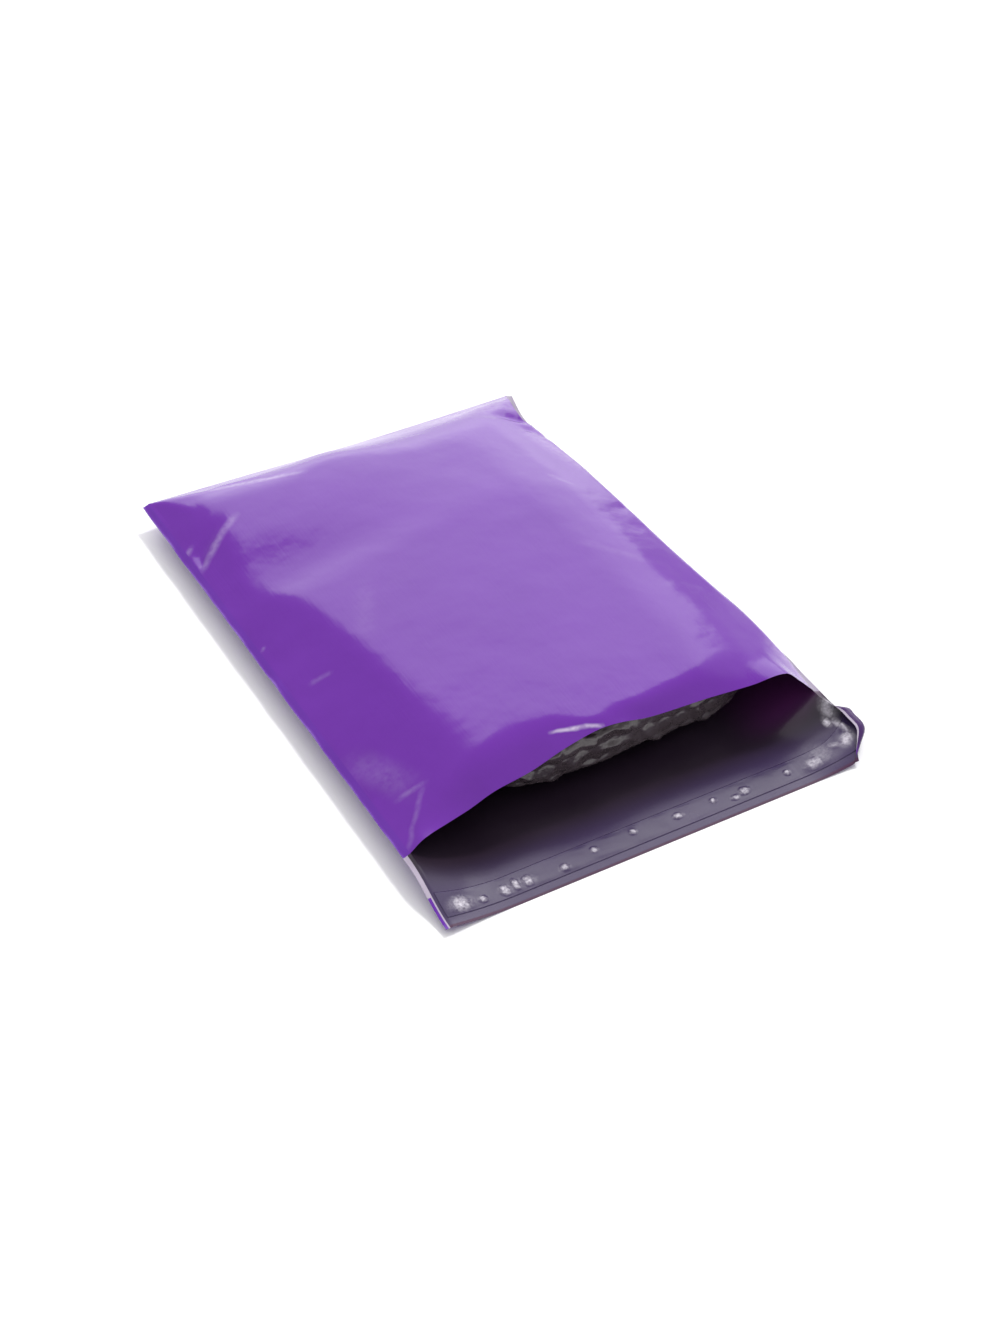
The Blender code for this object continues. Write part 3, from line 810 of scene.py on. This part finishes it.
def make_goods(material):
    points, x = goods_surface()
    ahead, behind = np.roll(points, -1, axis=0), np.roll(points, 1, axis=0)
    girth = np.cumsum(np.linalg.norm(points - behind, axis=-1)[:, points.shape[1] // 2])[:, None] + 0.0 * x
    normal = np.cross(np.gradient(points, axis=1), ahead - behind)
    normal /= np.linalg.norm(normal, axis=-1, keepdims=True)
    fold = np.abs(waves(FOLD_STRETCH * x, girth, FOLD_WAVELENGTH, FOLD_SEED))
    crinkle = np.abs(waves(FOLD_STRETCH * x, girth, CRINKLE_WAVELENGTH, CRINKLE_SEED))
    folded = np.clip(fold + CRINKLE_SHARE * crinkle, 0.0, FOLD_LIMIT)
    front = 1 - ease((points[..., 1] - GOODS_FRONT) / FOLD_REACH)
    depth = WRAP_FOLD_DEPTH * folded * front + BUBBLE_HEIGHT * (1 - bubbles(x, girth))
    points = points - normal * depth[..., None]
    rows, columns = points.shape[:2]
    index = np.arange(rows * columns).reshape(rows, columns)
    around = np.concatenate([index, index[:1]])
    faces = cells(around)
    first_end, last_end = rows * columns, rows * columns + 1
    for low, high in zip(around.tolist(), around[1:].tolist()):
        faces.append([first_end, low[0], high[0]])
        faces.append([last_end, high[-1], low[-1]])
    ends = np.array([points[:, 0].mean(axis=0), points[:, -1].mean(axis=0)])
    goods = mesh_piece("goods", np.concatenate([points.reshape(-1, 3), ends]), faces, [material])
    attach(goods, "root")
    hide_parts("wrapped_goods")


# Materials

def shader_of(material):
    return material.node_tree.nodes["Principled BSDF"]


def give(socket, value):
    """Sets an input to a value, or links the output of another node to it."""
    if isinstance(value, bpy.types.NodeSocket):
        socket.id_data.links.new(value, socket)
    else:
        socket.default_value = value


def calculate(tree, kind, a, b, clamp=False):
    node = tree.nodes.new("ShaderNodeMath")
    node.operation = kind
    node.use_clamp = clamp
    give(node.inputs[0], a)
    give(node.inputs[1], b)
    return node.outputs[0]


def calculate_vector(tree, kind, a, b, result="Vector"):
    node = tree.nodes.new("ShaderNodeVectorMath")
    node.operation = kind
    give(node.inputs[0], a)
    give(node.inputs[1], b)
    return node.outputs[result]


def map_range(tree, value, low, high, to_low=0.0, to_high=1.0, kind="SMOOTHSTEP"):
    node = tree.nodes.new("ShaderNodeMapRange")
    node.interpolation_type = kind
    names = ("Value", "From Min", "From Max", "To Min", "To Max")
    for name, given in zip(names, (value, low, high, to_low, to_high)):
        give(node.inputs[name], given)
    return node.outputs["Result"]


def noise(tree, place, scale, detail=2.0):
    node = tree.nodes.new("ShaderNodeTexNoise")
    give(node.inputs["Vector"], place)
    give(node.inputs["Scale"], scale)
    give(node.inputs["Detail"], detail)
    return node


def own_place(tree):
    """Places on the object, in metres."""
    return tree.nodes.new("ShaderNodeTexCoord").outputs["Object"]


def new_group(name, vectors, numbers, results):
    """A shader node group with its named sockets, and what it is given and puts out."""
    group = bpy.data.node_groups.new(name, "ShaderNodeTree")
    for kind, names in (("NodeSocketVector", vectors), ("NodeSocketFloat", numbers)):
        for socket in names:
            group.interface.new_socket(socket, in_out="INPUT", socket_type=kind)
    for socket in results:
        group.interface.new_socket(socket, in_out="OUTPUT", socket_type="NodeSocketFloat")
    given, put = group.nodes.new("NodeGroupInput"), group.nodes.new("NodeGroupOutput")
    return group, given.outputs, put.inputs


def place_group(material, group, values):
    """Puts a node group into a material, with the material's own values."""
    node = material.node_tree.nodes.new("ShaderNodeGroup")
    node.node_tree = group
    for name, value in values.items():
        node.inputs[name].default_value = value
    return node.outputs


def film_surface_group():
    """Unevenness of blown film: a slow waviness, fine draw lines along the web, and where gloss is lost."""
    numbers = ("Wave size", "Wave height", "Line height", "Gloss loss", "Base roughness")
    group, given, put = new_group("Blown film surface", (), numbers, ("Height", "Roughness", "Cloud"))
    place = own_place(group)
    stretch = group.nodes.new("ShaderNodeMapping")
    give(stretch.inputs["Vector"], place)
    give(stretch.inputs["Scale"], LINE_SCALE)
    wave = noise(group, place, given["Wave size"]).outputs["Fac"]
    line = noise(group, stretch.outputs["Vector"], 1.0).outputs["Fac"]
    cloud = noise(group, place, CLOUD_SCALE, CLOUD_DETAIL).outputs["Fac"]
    waved = calculate(group, "MULTIPLY", wave, given["Wave height"])
    lined = calculate(group, "MULTIPLY", line, given["Line height"])
    lost = calculate(group, "MULTIPLY", cloud, given["Gloss loss"])
    give(put["Height"], calculate(group, "ADD", waved, lined))
    give(put["Roughness"], calculate(group, "ADD", lost, given["Base roughness"]))
    give(put["Cloud"], cloud)
    return group


def painted_highlight_group():
    """Mask of a painted highlight: a soft line from Start along Run, over the floor plan, uneven along its
    length.
    """
    numbers = ("Half width", "Strength", "Wander", "Grain")
    group, given, put = new_group("Painted highlight line", ("Start", "Run"), numbers, ("Mask",))
    place, run = own_place(group), given["Run"]
    slow = calculate(group, "MULTIPLY", given["Grain"], WANDER_SLOWNESS)
    wander = calculate_vector(group, "SUBTRACT", noise(group, place, slow).outputs["Color"], (0.5, 0.5, 0.5))
    bent = calculate_vector(group, "ADD", place, calculate_vector(group, "MULTIPLY", wander, given["Wander"]))
    flat = calculate_vector(group, "MULTIPLY", bent, (1.0, 1.0, 0.0))
    off = calculate_vector(group, "SUBTRACT", flat, given["Start"])
    along = calculate_vector(group, "DOT_PRODUCT", off, run, "Value")
    length = calculate_vector(group, "DOT_PRODUCT", run, run, "Value")
    share = calculate(group, "DIVIDE", along, length, clamp=True)
    nearest = calculate_vector(group, "MULTIPLY", run, share)
    distance = calculate_vector(group, "DISTANCE", off, nearest, "Value")
    fade = map_range(group, distance, 0.0, given["Half width"], given["Strength"], 0.0)
    grain = noise(group, place, given["Grain"]).outputs["Fac"]
    uneven = map_range(group, grain, *GRAIN_RANGE, GRAIN_LEAST, 1.0, "LINEAR")
    taper = group.nodes.new("ShaderNodeFloatCurve")
    curve = taper.mapping.curves[0]
    for point in curve.points:
        point.location.y = MARK_ENDS
    for stop in MARK_FULL:
        curve.points.new(stop, 1.0)
    give(taper.inputs["Value"], share)
    mask = calculate(group, "MULTIPLY", fade, uneven)
    give(put["Mask"], calculate(group, "MULTIPLY", mask, taper.outputs["Value"]))
    return group


def tint_towards(material, mask, colour):
    """Mixes a colour into the material's base colour where the mask is high."""
    base = shader_of(material).inputs["Base Color"]
    mix = material.node_tree.nodes.new("ShaderNodeMix")
    mix.data_type = "RGBA"
    # A mix node has more than one input named A and B. Those for colours are 6 and 7, and their result is 2.
    give(mix.inputs[6], base.links[0].from_socket)
    give(mix.inputs[7], (*colour, 1))
    give(mix.inputs["Factor"], mask)
    give(base, mix.outputs[2])


def add_painted_highlights(material, group, marks, colour, wander, grain):
    """Paints highlights into a material along soft lines, each told by its ends, half width and strength."""
    strongest = 0.0
    for start, end, half_width, strength in marks:
        mark = place_group(material, group, {
            "Start": (start[0] + MOUTH_LINE.x, start[1] + MOUTH_LINE.y, 0.0),
            "Run": (end[0] - start[0], end[1] - start[1], 0.0),
            "Half width": half_width,
            "Strength": strength,
            "Wander": wander,
            "Grain": grain,
        })
        strongest = calculate(material.node_tree, "MAXIMUM", strongest, mark["Mask"])
    tint_towards(material, strongest, colour)


def tint_area(material, colour, across, along):
    """Tints a part of the floor plan, from none at the first place of each pair to full at the second."""
    tree = material.node_tree
    split = tree.nodes.new("ShaderNodeSeparateXYZ")
    give(split.inputs[0], own_place(tree))
    x_share, y_share = (
        map_range(tree, split.outputs[axis], first + middle, last + middle)
        for axis, (first, last), middle in zip("XY", (across, along), MOUTH_LINE)
    )
    tint_towards(material, calculate(tree, "MULTIPLY", x_share, y_share), colour)


def new_material(name):
    material = bpy.data.materials.new(name)
    material.use_nodes = True
    return material


def film_material(name, group):
    """Co-extruded film: its colour drifts a little between two tones, over the film surface."""
    deep, pale, roughness, bump, coat, wave_size = FILMS[name]
    material = new_material(name)
    nodes, shader = material.node_tree.nodes, shader_of(material).inputs
    give(shader["Coat Weight"], coat)
    give(shader["Coat Roughness"], COAT_ROUGHNESS)
    surface = place_group(material, group, {
        "Wave size": wave_size,
        "Wave height": WAVE_HEIGHT,
        "Line height": LINE_HEIGHT,
        "Gloss loss": GLOSS_LOSS,
        "Base roughness": roughness,
    })
    relief = nodes.new("ShaderNodeBump")
    give(relief.inputs["Strength"], 1.0)
    give(relief.inputs["Distance"], bump)
    give(relief.inputs["Height"], surface["Height"])
    give(shader["Normal"], relief.outputs["Normal"])
    give(shader["Roughness"], surface["Roughness"])
    tone = nodes.new("ShaderNodeValToRGB")
    for stop, position, colour in zip(tone.color_ramp.elements, TONE_RANGE, (deep, pale)):
        stop.position = position
        stop.color = (*colour, 1)
    give(tone.inputs["Fac"], surface["Cloud"])
    give(shader["Base Color"], tone.outputs["Color"])
    return material


def plain_material(name, colour, roughness):
    material = new_material(name)
    give(shader_of(material).inputs["Base Color"], (*colour, 1))
    give(shader_of(material).inputs["Roughness"], roughness)
    return material


# Stage

def make_floor():
    half = FLOOR_SIZE / 2
    corners = np.array([(-half, -half, 0), (half, -half, 0), (half, half, 0), (-half, half, 0)])
    finish = plain_material("pale floor", FLOOR_COLOUR, FLOOR_ROUGHNESS)
    give(shader_of(finish).inputs["Specular IOR Level"], 0.0)
    floor = mesh_piece("floor", corners - np.array(MOUTH_LINE), [[0, 1, 2, 3]], [finish])


def heading(azimuth, elevation):
    """The direction to a place at an azimuth, in degrees clockwise from +Y, and an elevation."""
    azimuth, elevation = math.radians(azimuth), math.radians(elevation)
    flat = math.cos(elevation)
    return Vector((math.sin(azimuth) * flat, math.cos(azimuth) * flat, math.sin(elevation)))


def aim(piece, place, back):
    """Sets a light or a camera at a place, looking against the direction back."""
    piece.location = place
    piece.rotation_euler = (-back).to_track_quat("-Z", "Y").to_euler()
    bpy.context.scene.collection.objects.link(piece)


def make_light(name, kind, strength, direction, distance=1.0):
    data = bpy.data.lights.new(name, kind)
    data.energy = strength
    light = bpy.data.objects.new(name, data)
    aim(light, direction * distance, direction)
    return light, data


def make_lights():
    scene = bpy.context.scene
    scene.view_settings.view_transform = "Standard"
    scene.world = bpy.data.worlds.new("room")
    scene.world.use_nodes = True
    room = scene.world.node_tree.nodes["Background"].inputs
    room["Color"].default_value = (1.0, 1.0, 1.0, 1.0)
    room["Strength"].default_value = ROOM_STRENGTH
    sun, sun_data = make_light("key", "SUN", SUN_STRENGTH, heading(*SUN_HEADING))
    sun_data.angle = math.radians(SUN_ANGLE)
    sun.visible_glossy = False
    # The softbox stands behind the bag, and its left side ends the reflection on the front panel
    for name, (strength, place, distance, width, height, reflected) in PANELS.items():
        panel, data = make_light(name, "AREA", strength, heading(*place), distance)
        data.shape = "RECTANGLE"
        data.size = width
        data.size_y = height
        panel.visible_glossy = reflected


def make_camera():
    data = bpy.data.cameras.new("camera")
    data.lens = FOCAL_PIXELS / PICTURE_HEIGHT * SENSOR
    data.sensor_width = SENSOR
    camera = bpy.data.objects.new("camera", data)
    back = heading(CAMERA_AZIMUTH, CAMERA_ELEVATION)
    back.y = -back.y
    aim(camera, Vector(CAMERA_AIM) + MOUTH_LINE + back * CAMERA_DISTANCE, back)
    bpy.context.scene.camera = camera


def main():
    make_camera()
    make_lights()
    make_floor()
    surface, marks = film_surface_group(), painted_highlight_group()
    films = {name: film_material(name, surface) for name in FILMS}
    outside, inside, liner = films["purple film"], films["dark inner film"], films["clear liner"]
    # Painted highlights and reflections on the purple outside
    add_painted_highlights(outside, marks, PAINTED_HIGHLIGHTS, PAINTED_HIGHLIGHT_COLOUR, *PAINTED_HIGHLIGHT_GRAIN)
    tint_area(outside, ROLL_COLOUR, ROLL_ACROSS, ROLL_ALONG)
    tint_area(inside, PLUM_COLOUR, PLUM_ACROSS, PLUM_ALONG)
    tint_area(inside, FLAP_COLOUR, FLAP_ACROSS, FLAP_ALONG)
    # Painted glints on the crumpled end, on the film under it and on the liner, and on the liner's loose
    # spots
    add_painted_highlights(inside, marks, CRUMPLE_PAINTED_GLINTS, PAINTED_GLINT_COLOUR, *CRUMPLE_GLINT_GRAIN)
    # Painted glints on the liner where it has come off the glue
    spots = [((x - a / 2, -out), (x + a / 2, -out), b, strength) for x, out, a, b, strength in LOOSE_SPOTS]
    add_painted_highlights(liner, marks, spots + CRUMPLE_PAINTED_GLINTS, PAINTED_GLINT_COLOUR, *SPOT_GLINT_GRAIN)
    make_film(films)
    make_glue(plain_material("hot-melt glue", GLUE_COLOUR, GLUE_ROUGHNESS))
    make_liner(liner)
    make_goods(films["bubble wrap"])


main()
